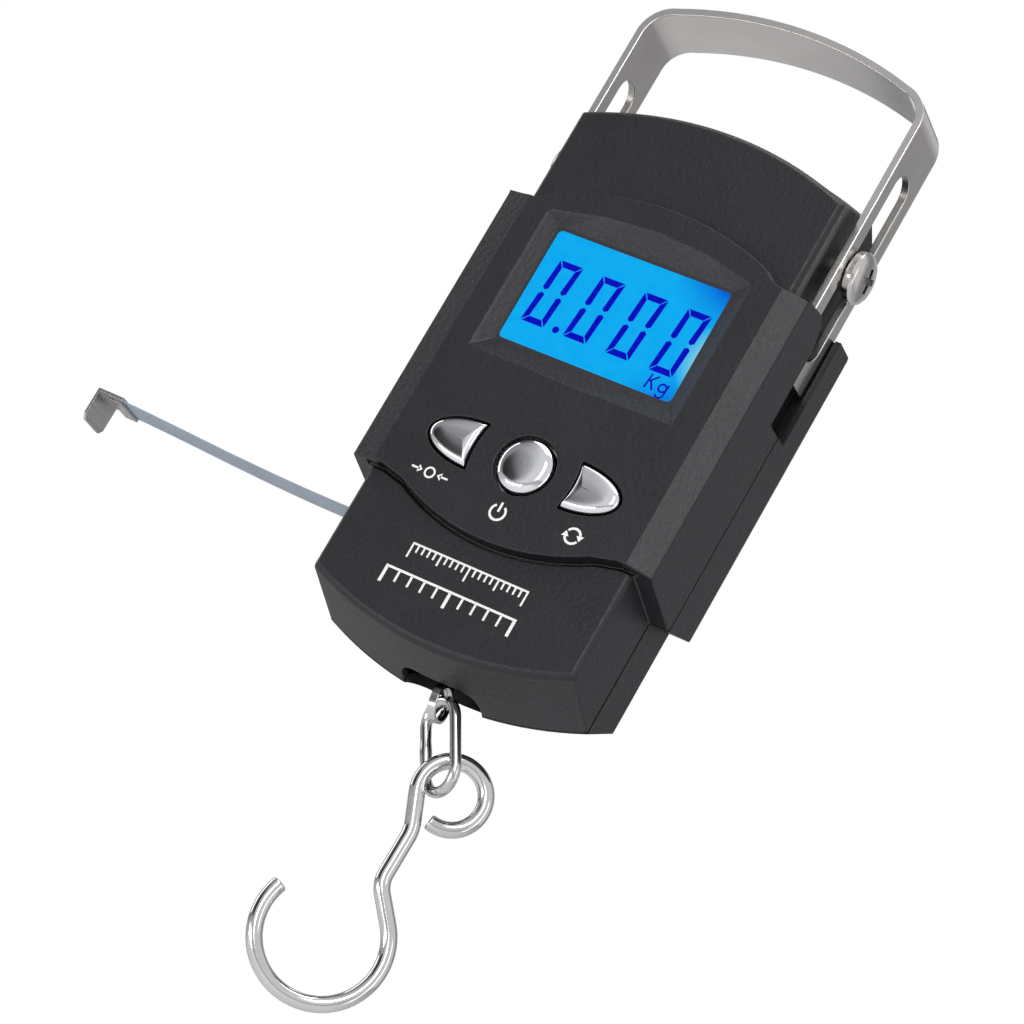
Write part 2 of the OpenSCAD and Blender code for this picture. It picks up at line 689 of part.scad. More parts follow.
// The paid-out blade bows gently between the slit and the end tab, and ends in the tab's clasp
blade_n = 16;
clasp = 3.2;
function blade_z(t) = tape_z + (tab_z - tape_z) * t * t * (3 - 2 * t) - 0.9 * sin(180 * t);
function blade_edge(z) = concat([for (i = [0:blade_n]) let (t = i / blade_n, x0 = wall - narrow_half)
    [x0 + (tab_x - x0) * t, blade_z(t) + z]], [[tab_x - clasp + 0.2, tab_z + z]]);
module tape_blade() at_grip() color("#aebccb") difference() {
    plate(tape_y - tape_width / 2, tape_y + tape_width / 2)
        polygon(concat(blade_edge(0), [for (i = [blade_n + 1:-1:0]) blade_edge(0.2)[i]]));
    translate([tab_x - clasp / 2, tape_y, tab_z - 1]) cylinder(r = 1.05, h = 2);
}

module tape_tab() at_grip() color(steel) {
    box(tab_x - 6.4, tab_x, tape_y - 4.5, tape_y + 4.5, tab_z + 0.25, tab_z + 0.85);
    box(tab_x - clasp, tab_x, tape_y - 4.5, tape_y + 4.5, tab_z - 0.65, tab_z - 0.05);
    difference() {
        box(tab_x - 6.9, tab_x - 6.3, tape_y - 4.5, tape_y + 4.5, tab_z - 6.6, tab_z + 0.85);
        for (s = [-1, 1]) translate([tab_x - 8, tape_y + s * 4.5, tab_z - 6.6]) rotate([45, 0, 0])
            cube([4, 1.6, 1.6], center = true);
    }
    translate([tab_x - clasp / 2, tape_y, tab_z - 0.75]) cylinder(r = 1, h = 1.8);
}

module release_button() at_grip() color("#3a3b3e")
    translate([reel_x, case_depth, reel_z]) rotate([90, 0, 0]) rotate_extrude() polygon([[0, 0.35],
        [3.6, 0.3], [4.4, 0.1], [5.05, 0.35], [5.05, wall + 0.1], [6.6, wall + 0.1],
        [6.6, wall + 1.2], [0, wall + 1.2]]);

front_shell();
rear_shell();
case_screws();
display_lens();
display_glass();
backlight();
circuit_board();
chip_cover();
board_screws();
button_pad();
tare_button();
power_button();
unit_button();
handle();
handle_screws();
handle_bushes();
load_bracket();
load_cell();
cell_screws();
strain_gauges();
load_clevis();
eye_pin();
load_eye();
chain_link();
hook();
battery_left();
battery_right();
battery_springs();
battery_plates();
battery_cover();
reel_plate();
reel_screws();
tape_axle();
tape_spool();
tape_coil();
return_spring();
tape_blade();
tape_tab();
release_button();
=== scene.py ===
import bpy, bmesh, math
from mathutils import Vector, Matrix


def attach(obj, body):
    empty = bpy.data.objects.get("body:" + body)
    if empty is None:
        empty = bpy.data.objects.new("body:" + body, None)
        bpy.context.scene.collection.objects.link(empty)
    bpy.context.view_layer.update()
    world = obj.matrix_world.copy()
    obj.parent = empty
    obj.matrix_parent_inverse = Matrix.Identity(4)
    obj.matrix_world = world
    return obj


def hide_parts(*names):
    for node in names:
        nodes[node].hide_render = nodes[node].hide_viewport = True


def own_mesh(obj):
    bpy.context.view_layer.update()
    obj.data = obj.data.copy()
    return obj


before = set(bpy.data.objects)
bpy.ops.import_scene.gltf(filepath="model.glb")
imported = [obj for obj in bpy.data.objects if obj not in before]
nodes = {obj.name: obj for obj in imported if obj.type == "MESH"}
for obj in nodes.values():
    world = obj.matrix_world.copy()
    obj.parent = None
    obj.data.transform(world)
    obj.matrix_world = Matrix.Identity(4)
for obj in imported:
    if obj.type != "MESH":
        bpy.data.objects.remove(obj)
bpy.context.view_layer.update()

MID_Y, GRIP_Z = 16.9, 89.6
WIN_X, WIN_Z, WIN_W, WIN_H = -0.5, 15.95, 41, 25.8


def at(x, y, z):
    """A point of the case, in mm from the middle of its front face, in the shared frame in metres."""
    return Vector((x / 1000, (y - MID_Y) / 1000, (z - GRIP_Z) / 1000))


# ---------------------------------------------------------------- camera

# Its place, axes and lens were fitted to the photograph's view of the case
cam_data = bpy.data.cameras.new("camera")
cam_data.sensor_width = 36
cam_data.lens = 130.2
cam_data.clip_start, cam_data.clip_end = 0.05, 20
cam = bpy.data.objects.new("camera", cam_data)
bpy.context.scene.collection.objects.link(cam)
bpy.context.scene.camera = cam
right = Vector((0.819255, 0.301633, 0.487687))
up = -Vector((0.344471, 0.421044, -0.839084))
back = -Vector((-0.458433, 0.855418, 0.241039))
cam.matrix_world = Matrix(((right.x, up.x, back.x, 0.33276), (right.y, up.y, back.y, -0.63218),
                           (right.z, up.z, back.z, -0.29311), (0, 0, 0, 1)))

# ---------------------------------------------------------------- materials


class Mat:
    """A procedural material. Its helpers add nodes and return their output sockets."""

    def __init__(self, name, color, rough, metal=0.0, **sockets):
        self.m = bpy.data.materials.new(name)
        self.m.use_nodes = True
        self.t = self.m.node_tree
        self.b = self.t.nodes["Principled BSDF"]
        self.set("Base Color", (*color, 1))
        self.set("Roughness", rough)
        self.set("Metallic", metal)
        for k, v in sockets.items():
            self.set(k.replace("_", " "), v)
        self.coord = self.add("ShaderNodeTexCoord").outputs["Object"]

    def add(self, kind, **inputs):
        n = self.t.nodes.new(kind)
        for k, v in inputs.items():
            self.link(n.inputs[k.replace("_", " ")], v)
        return n

    def link(self, socket, v):
        if isinstance(v, bpy.types.NodeSocket):
            self.t.links.new(v, socket)
        else:
            socket.default_value = v

    def set(self, name, v):
        self.link(self.b.inputs[name], v)

    def stretch(self, scale, turn=(0, 0, 0)):
        return self.add("ShaderNodeMapping", Vector=self.coord, Scale=scale, Rotation=turn).outputs[0]

    def noise(self, scale, detail=2.0, rough=0.5, vector=None):
        return self.add("ShaderNodeTexNoise", Vector=vector or self.coord, Scale=scale, Detail=detail,
                        Roughness=rough).outputs[0]

    def ramp(self, fac, *stops):
        n = self.add("ShaderNodeValToRGB", Fac=fac)
        e = n.color_ramp.elements
        while len(e) < len(stops):
            e.new(0.5)
        for s, (pos, col) in zip(e, stops):
            s.position = pos
            s.color = (*col, 1) if isinstance(col, tuple) else (col, col, col, 1)
        return n.outputs[0]

    def math(self, op, a, b=0.0):
        n = self.t.nodes.new("ShaderNodeMath")
        n.operation = op
        self.link(n.inputs[0], a)
        self.link(n.inputs[1], b)
        return n.outputs[0]

    def mix(self, fac, a, b):
        n = self.t.nodes.new("ShaderNodeMix")
        n.data_type = "RGBA"
        self.link(n.inputs["Factor"], fac)
        self.link(n.inputs[6], a if isinstance(a, bpy.types.NodeSocket) else (*a, 1))
        self.link(n.inputs[7], b if isinstance(b, bpy.types.NodeSocket) else (*b, 1))
        return n.outputs[2]

    def bump(self, *layers):
        """Each layer is (height socket, strength, distance in metres)."""
        normal = None
        for height, strength, distance in layers:
            n = self.add("ShaderNodeBump", Height=height, Strength=strength, Distance=distance)
            if normal is not None:
                self.t.links.new(normal, n.inputs["Normal"])
            normal = n.outputs[0]
        self.set("Normal", normal)


def black_plastic(name, tone=0.0105, grain=1.0):
    m = Mat(name, (tone, tone, tone * 1.25), 0.42, Specular_IOR_Level=0.45)
    fine = m.noise(2600, 3, 0.6)
    coarse = m.noise(900, 2, 0.5)
    cloud = m.noise(60, 3, 0.6)
    dark = (tone * 0.80, tone * 0.82, tone * 1.05)
    light = (tone * 1.20, tone * 1.22, tone * 1.50)
    m.set("Base Color", m.mix(m.ramp(cloud, (0.3, 0.0), (0.75, 1.0)), dark, light))
    m.set("Roughness", m.ramp(fine, (0.25, 0.36), (0.8, 0.52)))
    m.bump((fine, 0.6 * grain, 0.00010), (coarse, 0.55 * grain, 0.00018))
    return m.m


def bright_metal(name, color, rough, wear=1.0, streak=None):
    m = Mat(name, color, rough, 1.0)
    cloud = m.noise(70, 4, 0.6)
    speck = m.noise(1500, 3, 0.6)
    m.set("Base Color", m.mix(m.ramp(cloud, (0.35, 0.0), (0.7, 1.0)), tuple(c * 0.9 for c in color), color))
    layers = [(m.noise(240, 2), 0.06 * wear, 0.00025), (speck, 0.05 * wear, 0.00003)]
    if streak:
        lines = m.noise(1.0, 3, 0.65, m.stretch(streak))
        m.set("Roughness", m.ramp(lines, (0.25, rough * 0.75), (0.75, rough * 1.35)))
        layers.append((lines, 0.16 * wear, 0.00004))
    else:
        both = m.math("MULTIPLY", cloud, speck)
        m.set("Roughness", m.ramp(both, (0.1, rough * 0.7), (0.45, rough * 1.6)))
    m.bump(*layers)
    return m.m


def painted(name, color, rough, spread=0.12, bump=0.15, scale=900):
    m = Mat(name, color, rough)
    n = m.noise(scale, 3, 0.55)
    cloud = m.noise(scale / 14, 3, 0.55)
    m.set("Base Color", m.mix(m.ramp(cloud, (0.3, 0.0), (0.7, 1.0)), tuple(c * (1 - spread) for c in color),
                              tuple(min(1, c * (1 + spread)) for c in color)))
    m.set("Roughness", m.ramp(n, (0.3, rough * 0.85), (0.7, min(1, rough * 1.15))))
    m.bump((n, bump, 0.00005))
    return m.m


body_black = black_plastic("body_black")
cover_black = black_plastic("cover_black", 0.015)
smooth_black = black_plastic("button_black", 0.022, 0.5)
handle_metal = bright_metal("handle_steel", (0.72, 0.70, 0.67), 0.20, 1.0, (40, 2600, 40))
slot_metal = bright_metal("slot_wall", (0.40, 0.385, 0.36), 0.36, 1.6, (900, 60, 900))
hook_metal = bright_metal("hook_nickel", (0.70, 0.69, 0.675), 0.085, 0.9)
link_metal = bright_metal("link_nickel", (0.64, 0.63, 0.615), 0.12, 1.2)
screw_metal = bright_metal("screw_nickel", (0.64, 0.625, 0.60), 0.18, 1.4)
zinc = bright_metal("zinc_plate", (0.50, 0.50, 0.50), 0.34, 1.6)
chrome = bright_metal("button_chrome", (0.86, 0.87, 0.88), 0.045, 0.35)
tab_metal = bright_metal("tab_steel", (0.60, 0.59, 0.57), 0.28, 1.4, (1500, 40, 1500))
alu = bright_metal("milled_aluminium", (0.70, 0.71, 0.73), 0.32, 1.4, (60, 60, 2200))
board = painted("solder_mask", (0.03, 0.17, 0.06), 0.30, 0.2, 0.1)
epoxy = painted("epoxy", (0.012, 0.012, 0.013), 0.16, 0.2, 0.3, 500)
rubber = painted("grey_rubber", (0.24, 0.25, 0.26), 0.62)
amber = painted("gauge_film", (0.45, 0.22, 0.05), 0.25)
jacket = painted("battery_jacket", (0.34, 0.21, 0.05), 0.24, 0.18, 0.08, 500)
milky = painted("light_guide", (0.80, 0.86, 0.92), 0.35, 0.04, 0.05)
acetal = painted("white_acetal", (0.62, 0.63, 0.64), 0.45, 0.05, 0.1)
print_white = painted("print_white", (0.80, 0.80, 0.79), 0.50, 0.05, 0.12, 2200)


def tape_material():
    m = Mat("tape_lacquer", (0.30, 0.36, 0.42), 0.42, 0.0, Specular_IOR_Level=0.4)
    lines = m.noise(1.0, 3, 0.6, m.stretch((30, 2400, 30)))
    cloud = m.noise(120, 3)
    m.set("Base Color", m.mix(m.ramp(cloud, (0.3, 0.0), (0.7, 1.0)), (0.27, 0.325, 0.385),
                              (0.34, 0.40, 0.465)))
    m.set("Roughness", m.ramp(lines, (0.3, 0.34), (0.7, 0.50)))
    m.bump((lines, 0.10, 0.00004))
    return m.m


tape_paint = tape_material()


def lcd_material():
    m = Mat("lcd_lit", (0.0, 0.005, 0.02), 0.6, Specular_IOR_Level=0.0)
    xyz = m.add("ShaderNodeSeparateXYZ", Vector=m.coord).outputs
    # Even cyan-blue, a pale glow at the right-hand lamp and deeper blue in the corners beside it
    dx = m.math("MULTIPLY", m.math("SUBTRACT", xyz[0], 0.0215), 1 / 0.0052)
    dz = m.math("MULTIPLY", m.math("SUBTRACT", xyz[2], (14.2 - GRIP_Z) / 1000), 1 / 0.0080)
    near = m.math("SQRT", m.math("ADD", m.math("MULTIPLY", dx, dx), m.math("MULTIPLY", dz, dz)))
    glow = m.ramp(near, (0.0, 1.0), (0.55, 0.42), (1.0, 0.0))
    side = m.math("MULTIPLY", m.math("SUBTRACT", xyz[0], 0.0045), 1 / 0.0155)
    above = m.math("SUBTRACT", xyz[2], (15.3 - GRIP_Z) / 1000)
    high = m.math("ABSOLUTE", m.math("MULTIPLY", above, 1 / 0.0135))
    corner = m.ramp(m.math("MULTIPLY", m.math("MAXIMUM", side, 0.0), m.math("POWER", high, 2.0)),
                    (0.12, 0.0), (0.85, 1.0))
    grain = m.ramp(m.noise(900, 2), (0.3, 0.0), (0.7, 1.0))
    blue = m.mix(grain, (0.004, 0.45, 1.0), (0.008, 0.485, 1.0))
    blue = m.mix(corner, blue, (0.002, 0.16, 0.80))
    blue = m.mix(glow, blue, (0.36, 0.86, 0.80))
    m.set("Emission Color", blue)
    m.set("Emission Strength", 0.92)
    m.bump((m.noise(1500, 2), 0.03, 0.00002))
    return m.m


def ink_material():
    m = Mat("lcd_ink", (0.0, 0.0, 0.02), 0.6, Specular_IOR_Level=0.0)
    n = m.ramp(m.noise(700, 2), (0.3, 0.0), (0.7, 1.0))
    m.set("Emission Color", m.mix(n, (0.004, 0.004, 0.55), (0.006, 0.008, 0.68)))
    m.set("Emission Strength", 0.85)
    return m.m


def lens_material():
    m = Mat("clear_lens", (0, 0, 0), 0.02, 0.0, IOR=1.49, Alpha=0.035, Specular_IOR_Level=0.3)
    m.set("Roughness", m.ramp(m.noise(900, 3), (0.3, 0.015), (0.7, 0.05)))
    return m.m


lcd_lit, lcd_ink, lens_clear = lcd_material(), ink_material(), lens_material()

# ---------------------------------------------------------------- mesh helpers


def make(name, mesh, material, body, replaces=()):
    o = bpy.data.objects.new(name, mesh)
    bpy.context.scene.collection.objects.link(o)
    o.data.materials.clear()
    for m in material if isinstance(material, (list, tuple)) else [material]:
        o.data.materials.append(m)
    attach(o, body)
    if replaces:
        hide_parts(*replaces)
    return o


def mesh_from(name, verts, faces):
    me = bpy.data.meshes.new(name)
    me.from_pydata([tuple(v) for v in verts], [], faces)
    me.validate()
    me.shade_smooth()
    return me


def soften(me, angle):
    """Smooth shading with the sharp edges kept sharp."""
    me.shade_smooth()
    me.set_sharp_from_angle(angle=math.radians(angle))


def solid(name, verts, faces, angle, merge=None):
    """A closed mesh with its normals outwards; vertices closer than merge become one."""
    me = mesh_from(name, verts, faces)
    bm = bmesh.new()
    bm.from_mesh(me)
    if merge:
        bmesh.ops.remove_doubles(bm, verts=bm.verts, dist=merge)
    bmesh.ops.recalc_face_normals(bm, faces=bm.faces)
    bm.to_mesh(me)
    bm.free()
    soften(me, angle)
    return me


def refined(node, width, segments=2, clamp=True):
    """The node's own shape as a clean mesh with softened edges."""
    src = nodes[node]
    me = src.data.copy()
    me.transform(src.matrix_world)
    bm = bmesh.new()
    bm.from_mesh(me)
    bmesh.ops.remove_doubles(bm, verts=bm.verts, dist=2e-6)
    bmesh.ops.dissolve_degenerate(bm, edges=bm.edges, dist=2e-6)
    bmesh.ops.dissolve_limit(bm, angle_limit=math.radians(0.2), verts=bm.verts, edges=bm.edges)
    bm.to_mesh(me)
    bm.free()
    me.materials.clear()
    tmp = bpy.data.objects.new("tmp", me)
    bpy.context.scene.collection.objects.link(tmp)
    b = tmp.modifiers.new("soft", "BEVEL")
    b.width, b.segments, b.limit_method, b.angle_limit = width, segments, "ANGLE", math.radians(28)
    b.use_clamp_overlap, b.miter_outer, b.profile = clamp, "MITER_ARC", 0.5
    b.harden_normals = True
    even = tmp.modifiers.new("even", "WEIGHTED_NORMAL")
    even.mode, even.keep_sharp, even.weight = "FACE_AREA", True, 80
    soften(me, 24)
    dg = bpy.context.evaluated_depsgraph_get()
    out = bpy.data.meshes.new_from_object(tmp.evaluated_get(dg))
    bpy.data.objects.remove(tmp)
    return out


def tube_mesh(name, pts, radius, sides, normal, closed=False):
    """A wire along pts that lie in one plane with that normal; round ends."""
    n = len(pts)
    verts, faces, rings = [], [], []
    r_at = radius if callable(radius) else (lambda i: radius)

    def frame_at(i):
        a = pts[(i - 1) % n] if closed or i > 0 else pts[i]
        b = pts[(i + 1) % n] if closed or i < n - 1 else pts[i]
        t = (b - a).normalized()
        return t, normal.cross(t).normalized()

    def ring(c, u, r):
        rings.append(len(verts))
        for k in range(sides):
            a = 2 * math.pi * k / sides
            verts.append(c + r * (math.cos(a) * u + math.sin(a) * normal))

    if not closed:
        t, u = frame_at(0)
        for k in (0.05, 0.3, 0.6, 0.85):
            a, r = k * math.pi / 2, r_at(0)
            ring(pts[0] - t * r * 0.28 * math.cos(a), u, r * (0.72 + 0.28 * math.sin(a)))
    for i in range(n):
        ring(pts[i], frame_at(i)[1], r_at(i))
    if not closed:
        t, u = frame_at(n - 1)
        for k in (0.85, 0.6, 0.3, 0.05):
            a, r = k * math.pi / 2, r_at(n - 1)
            ring(pts[-1] + t * r * 0.28 * math.cos(a), u, r * (0.72 + 0.28 * math.sin(a)))
    m = len(rings)
    for i in range(m if closed else m - 1):
        a, b = rings[i], rings[(i + 1) % m]
        for k in range(sides):
            j = (k + 1) % sides
            faces.append((a + k, b + k, b + j, a + j))
    if not closed:
        faces.append([rings[0] + k for k in range(sides)])
        faces.append([rings[-1] + k for k in reversed(range(sides))])
    return solid(name, verts, faces, 40)


def slab(name, outlines, y0, y1):
    """Flat shapes in x and z, each a list of points in mm, as thin solids from y0 (front) to y1."""
    bm = bmesh.new()
    for pts in outlines:
        area = sum(a[0] * b[1] - b[0] * a[1] for a, b in zip(pts, pts[1:] + pts[:1]))
        if area < 0:
            pts = pts[::-1]
        f = [bm.verts.new(at(x, y0, z)) for x, z in pts]
        r = [bm.verts.new(at(x, y1, z)) for x, z in pts]
        bm.faces.new(f)
        bm.faces.new(r[::-1])
        for i in range(len(pts)):
            j = (i + 1) % len(pts)
            bm.faces.new((f[i], r[i], r[j], f[j]))
    bmesh.ops.recalc_face_normals(bm, faces=bm.faces)
    me = bpy.data.meshes.new(name)
    bm.to_mesh(me)
    bm.free()
    return me


def arc_pts(cx, cz, r, a0, a1, n):
    """n + 1 points of an arc from a0 to a1 degrees."""
    return [(cx + r * math.cos(math.radians(a0 + (a1 - a0) * i / n)),
             cz + r * math.sin(math.radians(a0 + (a1 - a0) * i / n))) for i in range(n + 1)]


def ring_band(cx, cz, r, w, a0, a1, n=28):
    """A curved stroke of width w."""
    return arc_pts(cx, cz, r + w / 2, a0, a1, n) + arc_pts(cx, cz, r - w / 2, a1, a0, n)


def bar(x0, z0, x1, z1, w):
    """A straight stroke of width w with square ends."""
    d = math.hypot(x1 - x0, z1 - z0)
    nx, nz = -(z1 - z0) / d * w / 2, (x1 - x0) / d * w / 2
    return [(x0 + nx, z0 + nz), (x1 + nx, z1 + nz), (x1 - nx, z1 - nz), (x0 - nx, z0 - nz)]


def paint(node, material):
    """Keeps a CAD node, gives it its material and takes the sharpness off its edges."""
    o = nodes[node]
    o.data.materials.clear()
    o.data.materials.append(material)
    soft = o.modifiers.new("soft", "BEVEL")
    soft.width, soft.segments, soft.limit_method, soft.angle_limit = 0.00008, 1, "ANGLE", math.radians(50)


# ---------------------------------------------------------------- shells

make("shell_front", refined("front_shell", 0.00030, 3, clamp=False), body_black, "case", ["front_shell"])
make("shell_rear", refined("rear_shell", 0.00070, 3), body_black, "case", ["rear_shell"])
make("cover_battery", refined("battery_cover", 0.00030, 2), cover_black, "cover", ["battery_cover"])
make("button_release", refined("release_button", 0.00030, 2), smooth_black, "release", ["release_button"])

# ---------------------------------------------------------------- handle and its screws

handle_mesh = refined("handle", 0.00028, 3)
make("handle_strip", handle_mesh, [handle_metal, slot_metal], "handle", ["handle"])
# The walls of the slots are duller than the strip's faces
for p in handle_mesh.polygons:
    c, n = p.center, p.normal
    y, z = c.y * 1000, c.z * 1000 + GRIP_Z
    if abs(n.x) < 0.6 and abs(c.x) > 0.0318 and abs(y) < 4.1 and 26 < z < 71.5:
        p.material_index = 1

make("screws_handle", refined("handle_screws", 0.00018, 2), screw_metal, "case", ["handle_screws"])

# ---------------------------------------------------------------- buttons

BUTTON_Z, POWER_X = -20.5, 0.3
MOON_X, MOON_LEN, MOON_HALF, MOON_HOLLOW = 11.2, 11.2, 5.05, 0.7


def revolve(name, cx, cz, profile, n=96):
    """A profile of (radius, y) turned about an axis along y."""
    verts, faces = [], []
    for r, y in profile:
        if r == 0:
            verts.append(at(cx, y, cz))
        else:
            for k in range(n):
                a = 2 * math.pi * k / n
                verts.append(at(cx + r * math.cos(a), y, cz + r * math.sin(a)))
    idx, start = [], 0
    for r, y in profile:
        idx.append((start, 1 if r == 0 else n))
        start += 1 if r == 0 else n
    for (a, na), (b, nb) in zip(idx, idx[1:]):
        for k in range(n):
            j = (k + 1) % n
            if na == 1:
                faces.append((a, b + j, b + k))
            elif nb == 1:
                faces.append((a + k, a + j, b))
            else:
                faces.append((a + k, a + j, b + j, b + k))
    return solid(name, verts, faces, 40)


def smooth_profile(points, n=6):
    """Catmull-Rom through the profile's points."""
    out = []
    for i in range(len(points) - 1):
        p0, p1, p2 = points[max(i - 1, 0)], points[i], points[i + 1]
        p3 = points[min(i + 2, len(points) - 1)]
        for k in range(n):
            t = k / n
            out.append(tuple(0.5 * (2 * b + (c - a) * t + (2 * a - 5 * b + 4 * c - d) * t * t
                                    + (3 * b - a - 3 * c + d) * t ** 3)
                             for a, b, c, d in zip(p0, p1, p2, p3)))
    out.append(points[-1])
    return out


cap = smooth_profile([(0.0, -1.20), (1.5, -1.18), (2.8, -1.12), (3.8, -1.00), (4.6, -0.78), (5.2, -0.44),
                      (5.7, 0.0), (6.05, 0.7), (6.2, 1.6)])
cap = [(0 if i == 0 else max(r, 0.01), y) for i, (r, y) in enumerate(cap)]
cap += [(6.2, 2.5), (7.0, 2.5), (7.0, 3.7), (2.5, 3.7), (2.5, 6.5), (0, 6.5)]
make("button_power", revolve("button_power", POWER_X, BUTTON_Z, cap), chrome, "power", ["power_button"])


def moon_outline(n=150):
    """Half an ellipse with a slightly hollow inner side and eased corners."""
    loop = [(MOON_X + MOON_LEN * math.cos(a), BUTTON_Z + MOON_HALF * math.sin(a))
            for a in (math.pi * i / 400 - math.pi / 2 for i in range(401))]
    loop += [(MOON_X + MOON_HOLLOW * (1 - h * h), BUTTON_Z + MOON_HALF * h)
             for h in (1 - i / 60 for i in range(1, 120))]
    run = [0.0]
    for a, b in zip(loop, loop[1:] + loop[:1]):
        run.append(run[-1] + math.hypot(b[0] - a[0], b[1] - a[1]))
    even, j = [], 0
    for i in range(n):
        d = run[-1] * i / n
        while run[j + 1] < d:
            j += 1
        a, b = loop[j], loop[(j + 1) % len(loop)]
        t = (d - run[j]) / max(run[j + 1] - run[j], 1e-9)
        even.append((a[0] + (b[0] - a[0]) * t, a[1] + (b[1] - a[1]) * t))
    for _ in range(3):
        even = [tuple((even[i - 1][k] + 2 * even[i][k] + even[(i + 1) % n][k]) / 4 for k in (0, 1))
                for i in range(n)]
    return even


def moon_button(name, flip, body, node):
    """A long pillow: its rings shrink and rise towards a short spine inside the outline."""
    loop = moon_outline()
    m = len(loop)

    def spine(p):
        """The nearest point of the spine, which runs level from x = 14.2 to 17.8."""
        return 14.2 + 3.6 * min(1, max(0, (p[0] - 11.5) / 10.5)), BUTTON_Z

    rings = []
    for t, y in ((0.0, 3.3), (0.0, 2.0), (0.0, 0.75), (0.012, 0.25), (0.045, -0.12), (0.10, -0.42),
                 (0.17, -0.66), (0.25, -0.82), (0.34, -0.92), (0.43, -0.98), (0.52, -1.02), (0.62, -1.05),
                 (0.74, -1.07), (0.87, -1.08), (0.97, -1.085)):
        rings.append([(p[0] + (spine(p)[0] - p[0]) * t, y, p[1] + (spine(p)[1] - p[1]) * t) for p in loop])
    verts, faces = [], []
    for r in rings:
        verts += [at(-x if flip else x, y, z) for x, y, z in r]
    for i in range(len(rings) - 1):
        for k in range(m):
            j = (k + 1) % m
            faces.append((i * m + k, (i + 1) * m + k, (i + 1) * m + j, i * m + j))
    faces.append([(len(rings) - 1) * m + k for k in range(m)])
    faces.append([k for k in reversed(range(m))])
    make(name, solid(name, verts, faces, 50, merge=5e-6), chrome, body, [node])


moon_button("button_unit", False, "unit", "unit_button")
moon_button("button_tare", True, "tare", "tare_button")

# ---------------------------------------------------------------- display

nodes["display_glass"].data.materials.clear()
nodes["display_glass"].data.materials.append(lcd_lit)
nodes["display_lens"].data.materials.clear()
nodes["display_lens"].data.materials.append(lens_clear)


def nought(x0):
    """Outlines of one nought. x0 is the left edge at its foot; it leans to the right."""
    w, h, s, g, z0, lean = 5.55, 14.85, 1.38, 0.13, 8.35, 1.24
    mid = h / 2
    bottom = [(g * 2, 0), (w - g * 2, 0), (w - s * 0.95, s), (s * 0.95, s)]
    top = [(g * 2, h), (w - g * 2, h), (w - s * 0.95, h - s), (s * 0.95, h - s)]
    low_left = [(0, g), (s * 0.9, s + g), (s, mid - 0.75), (s * 0.5, mid - 0.3), (0, mid - 0.8)]
    low_right = [(w, g), (w - s * 0.9, s + g), (w - s, mid - 0.75), (w - s * 0.5, mid - 0.3), (w, mid - 0.8)]
    up_left = [(0, h - g), (s * 0.9, h - s - g), (s, mid + 0.75), (s * 0.5, mid + 0.3), (0, mid + 0.8)]
    up_right = [(w, h - g), (w - s * 0.9, h - s - g), (w - s, mid + 0.75), (w - s * 0.5, mid + 0.3),
                (w, mid + 0.8)]
    return [[(x0 + x + lean * z / h, z0 + z) for x, z in raw]
            for raw in (bottom, top, low_left, low_right, up_left, up_right)]


figure = []
for i in range(4):
    figure += nought(-19.0 + 10.17 * i)
figure.append(arc_pts(-10.75, 8.95, 0.78, 0, 337.5, 15))
# The unit sign, kg
kx, kz = 12.6, 4.5
figure += [bar(kx + 0.15, kz, kx + 0.5, kz + 3.3, 0.42),
           bar(kx + 2.2, kz + 3.25, kx + 0.55, kz + 1.65, 0.42),
           bar(kx + 0.85, kz + 1.95, kx + 1.95, kz, 0.42),
           ring_band(kx + 3.9, kz + 1.2, 0.85, 0.42, 0, 350, 20),
           bar(kx + 4.95, kz + 2.2, kx + 4.72, kz - 0.2, 0.42),
           ring_band(kx + 3.85, kz - 0.15, 0.86, 0.42, 200, 360, 12)]
# A thin frame inside the lip, with rounded corners
hw, hh, rim, rc = WIN_W / 2, WIN_H / 2, 1.0, 1.1
inset = [[(WIN_X - hw - rim, WIN_Z + s * hh), (WIN_X + hw + rim, WIN_Z + s * hh),
          (WIN_X + hw + rim, WIN_Z + s * (hh + rim)), (WIN_X - hw - rim, WIN_Z + s * (hh + rim))]
         for s in (-1, 1)]
inset += [[(WIN_X + s * hw, WIN_Z - hh), (WIN_X + s * (hw + rim), WIN_Z - hh),
           (WIN_X + s * (hw + rim), WIN_Z + hh), (WIN_X + s * hw, WIN_Z + hh)] for s in (-1, 1)]
for sx in (-1, 1):
    for sz in (-1, 1):
        cx, cz = WIN_X + sx * hw, WIN_Z + sz * hh
        inset.append([(cx, cz)] + [(cx - sx * rc * (1 - math.cos(a)), cz - sz * rc * (1 - math.sin(a)))
                                   for a in (math.pi / 2 * k / 8 for k in range(9))])
make("window_frame", slab("window_frame", inset, 1.95, 2.12), smooth_black, "case", ())
make("display_figures", slab("display_figures", figure, 2.965, 2.99), lcd_ink, "case", ())

# ---------------------------------------------------------------- printed marks

# Tare: a zero between two arrows
tx, tz = -17.3, -29.2
marks = [ring_band(tx, tz, 1.05, 0.42, 0, 360, 28)]
for s in (-1, 1):
    marks += [bar(tx + s * 4.3, tz, tx + s * 2.4, tz, 0.42),
              [(tx + s * 1.75, tz), (tx + s * 2.75, tz + 0.85), (tx + s * 2.75, tz - 0.85)]]
# Power: a broken ring with a stroke
marks += [ring_band(POWER_X, -31.3, 1.65, 0.5, 125, 415, 32), bar(POWER_X, -31.2, POWER_X, -29.1, 0.5)]
